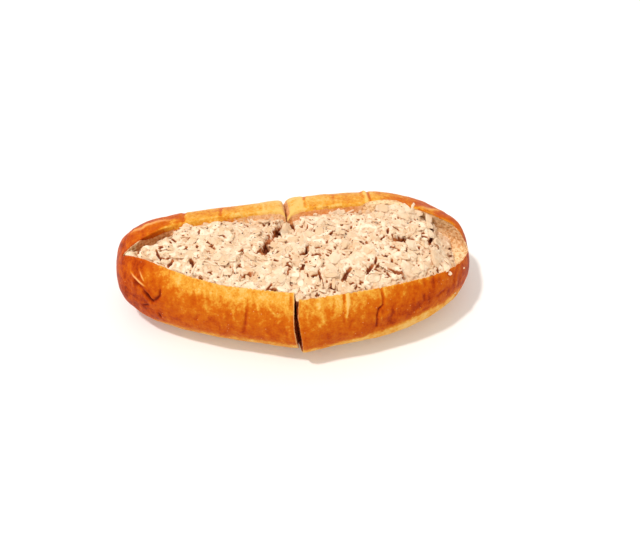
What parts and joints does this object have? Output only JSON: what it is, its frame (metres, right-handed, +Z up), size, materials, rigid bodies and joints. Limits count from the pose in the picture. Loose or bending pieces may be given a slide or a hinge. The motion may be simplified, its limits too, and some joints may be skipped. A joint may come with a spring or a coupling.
{
  "type": "tuna sub",
  "caption": "Soft sub roll split along the top, heaped with tuna salad and cut across the middle, its halves lying together",
  "frame": {"origin": "middle of the base, on the surface that the sub stands on", "axes": "+X along the roll towards its more open end, +Y towards the higher crust edge, +Z up"},
  "size_m": [0.257, 0.1288, 0.0666],
  "materials": {
    "crust": "soft baked crust, golden at the split and deep brown at the ends, with pale crumb inside",
    "tuna_salad": "moist creamy salad with flakes of tuna",
    "pepper": "dry ground pepper"
  },
  "bodies": {
    "root": {"roll_left": "crust", "roll_right": "crust", "filling_left": "tuna_salad", "filling_right": "tuna_salad"}
  },
  "joints": []
}
